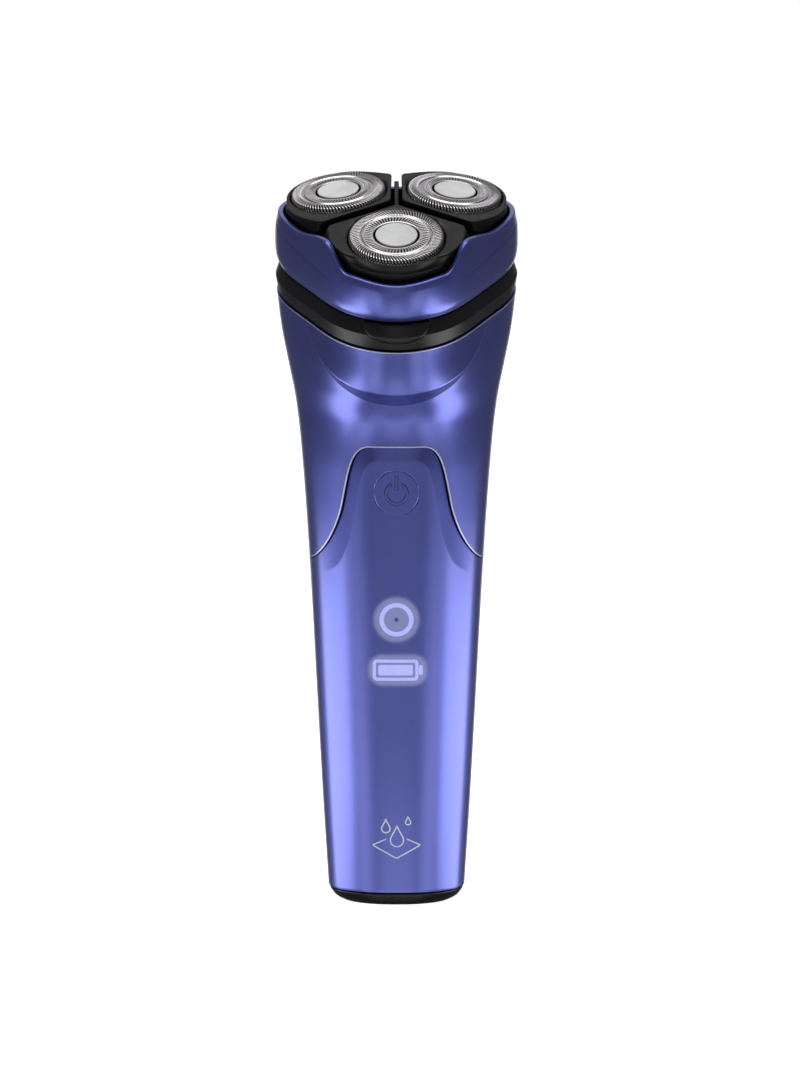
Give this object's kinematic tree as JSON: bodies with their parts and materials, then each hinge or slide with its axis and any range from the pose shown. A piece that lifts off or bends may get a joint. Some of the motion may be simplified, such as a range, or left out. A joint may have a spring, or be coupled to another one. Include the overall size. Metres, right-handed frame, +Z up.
{
  "type": "rotary electric shaver",
  "caption": "Cordless rotary shaver with a waisted metallic handle, tilted head, floating slotted foils, spinning cutters and a head that swings open for cleaning.",
  "frame": {"origin": "centre of the flat face of the bottom cap", "axes": "+Z up along the handle, -Y towards the power button, +X to the right seen from the front"},
  "size_m": [0.0568, 0.0565, 0.1711],
  "materials": {
    "blue_metallic": "metallic blue lacquer over moulded plastic",
    "black_gloss": "glossy moulded plastic",
    "black_satin": "satin moulded plastic",
    "foil_steel": "polished slotted steel",
    "steel": "machined steel",
    "white_cap": "satin moulded plastic",
    "rubber": "matte",
    "nylon": "natural moulded nylon",
    "battery_wrap": "shrink film",
    "board_green": "solder mask",
    "light_guide": "clear moulded plastic"
  },
  "bodies": {
    "handle": {"rear_housing": "blue_metallic", "front_panel": "blue_metallic", "neck_ring": "black_gloss", "neck_deck": "black_gloss", "hinge_pin": "steel", "bottom_cap": "black_gloss", "bottom_seal": "rubber", "charging_socket": "steel", "charging_tongue": "black_gloss", "chassis": "nylon", "battery_cell": "battery_wrap", "battery_tab_lower": "steel", "battery_tab_upper": "steel", "circuit_board": "board_green", "power_switch": "black_gloss", "indicator_light_guide": "light_guide", "battery_light_guide": "light_guide", "housing_screw_lower": "steel", "housing_screw_upper": "steel", "motor_can": "steel", "motor_end_cap": "black_gloss", "motor_plate": "nylon", "motor_screw_left": "steel", "motor_screw_right": "steel", "spindle_seal_front": "rubber", "spindle_seal_right": "rubber", "spindle_seal_left": "rubber"},
    "power_key": {"power_button": "blue_metallic"},
    "release_key": {"release_button": "black_satin"},
    "rotor": {"motor_shaft": "steel", "motor_armature": "steel", "pinion": "nylon"},
    "head": {"head_shell": "blue_metallic", "head_frame": "black_gloss", "centre_rib": "black_gloss"},
    "gear_front": {"drive_gear_front": "nylon", "spindle_front": "steel"},
    "tilt_front": {"disc_frame_front": "black_satin", "cutter_retainer_front": "nylon"},
    "cap_front": {"foil_front": "foil_steel", "hub_cover_front": "white_cap"},
    "blade_front": {"cutter_front": "steel"},
    "gear_right": {"drive_gear_right": "nylon", "spindle_right": "steel"},
    "tilt_right": {"disc_frame_right": "black_satin", "cutter_retainer_right": "nylon"},
    "cap_right": {"foil_right": "foil_steel", "hub_cover_right": "white_cap"},
    "blade_right": {"cutter_right": "steel"},
    "gear_left": {"drive_gear_left": "nylon", "spindle_left": "steel"},
    "tilt_left": {"disc_frame_left": "black_satin", "cutter_retainer_left": "nylon"},
    "cap_left": {"foil_left": "foil_steel", "hub_cover_left": "white_cap"},
    "blade_left": {"cutter_left": "steel"}
  },
  "joints": [
    {"name": "power_press", "type": "slide", "parent": "handle", "child": "power_key", "axis": [0, 1, 0], "range_m": [0, 0.0005], "stiffness_N_per_m": 600},
    {"name": "release_press", "type": "slide", "parent": "handle", "child": "release_key", "axis": [0, 0.9489, 0.3156], "range_m": [0, 0.0008], "stiffness_N_per_m": 400},
    {"name": "head_open", "type": "hinge", "parent": "handle", "child": "head", "pos_m": [0, 0.02096, 0.15683], "axis": [-1, 0, 0], "range_deg": [0, 100]},
    {"name": "motor_spin", "type": "hinge", "parent": "handle", "child": "rotor", "pos_m": [0, -0.002, 0.1486], "axis": [0, -0.3584, 0.9336], "continuous": true},
    {"name": "gear_spin_front", "type": "hinge", "parent": "handle", "child": "gear_front", "pos_m": [0, -0.016, 0.14322], "axis": [0, -0.3584, 0.9336], "continuous": true},
    {"name": "disc_tilt_front", "type": "hinge", "parent": "head", "child": "tilt_front", "pos_m": [0, -0.02013, 0.15396], "axis": [1, 0, 0], "range_deg": [-5, 5], "stiffness_Nm_per_rad": 0.05},
    {"name": "foil_float_front", "type": "slide", "parent": "tilt_front", "child": "cap_front", "axis": [0, -0.4695, 0.8829], "range_m": [-0.001, 0], "stiffness_N_per_m": 300, "springref_m": 0.0008},
    {"name": "cutter_spin_front", "type": "hinge", "parent": "cap_front", "child": "blade_front", "pos_m": [0, -0.02013, 0.15396], "axis": [0, -0.4695, 0.8829], "continuous": true},
    {"name": "gear_spin_right", "type": "hinge", "parent": "handle", "child": "gear_right", "pos_m": [0.01299, 0.005, 0.15129], "axis": [0, -0.3584, 0.9336], "continuous": true},
    {"name": "disc_tilt_right", "type": "hinge", "parent": "head", "child": "tilt_right", "pos_m": [0.01299, 0.00088, 0.16202], "axis": [-0.5, 0.8085, 0.3104], "range_deg": [-5, 5], "stiffness_Nm_per_rad": 0.05},
    {"name": "foil_float_right", "type": "slide", "parent": "tilt_right", "child": "cap_right", "axis": [0.1055, -0.2988, 0.9485], "range_m": [-0.001, 0], "stiffness_N_per_m": 300, "springref_m": 0.0008},
    {"name": "cutter_spin_right", "type": "hinge", "parent": "cap_right", "child": "blade_right", "pos_m": [0.01299, 0.00088, 0.16202], "axis": [0.1055, -0.2988, 0.9485], "continuous": true},
    {"name": "gear_spin_left", "type": "hinge", "parent": "handle", "child": "gear_left", "pos_m": [-0.01299, 0.005, 0.15129], "axis": [0, -0.3584, 0.9336], "continuous": true},
    {"name": "disc_tilt_left", "type": "hinge", "parent": "head", "child": "tilt_left", "pos_m": [-0.01299, 0.00088, 0.16202], "axis": [-0.5, -0.8085, -0.3104], "range_deg": [-5, 5], "stiffness_Nm_per_rad": 0.05},
    {"name": "foil_float_left", "type": "slide", "parent": "tilt_left", "child": "cap_left", "axis": [-0.1055, -0.2988, 0.9485], "range_m": [-0.001, 0], "stiffness_N_per_m": 300, "springref_m": 0.0008},
    {"name": "cutter_spin_left", "type": "hinge", "parent": "cap_left", "child": "blade_left", "pos_m": [-0.01299, 0.00088, 0.16202], "axis": [-0.1055, -0.2988, 0.9485], "continuous": true}
  ],
  "couplings": [
    {"joint": "gear_spin_front", "follows": "motor_spin", "ratio": -0.42857},
    {"joint": "cutter_spin_front", "follows": "motor_spin", "ratio": -0.42857},
    {"joint": "gear_spin_right", "follows": "motor_spin", "ratio": -0.42857},
    {"joint": "cutter_spin_right", "follows": "motor_spin", "ratio": -0.42857},
    {"joint": "gear_spin_left", "follows": "motor_spin", "ratio": -0.42857},
    {"joint": "cutter_spin_left", "follows": "motor_spin", "ratio": -0.42857}
  ]
}
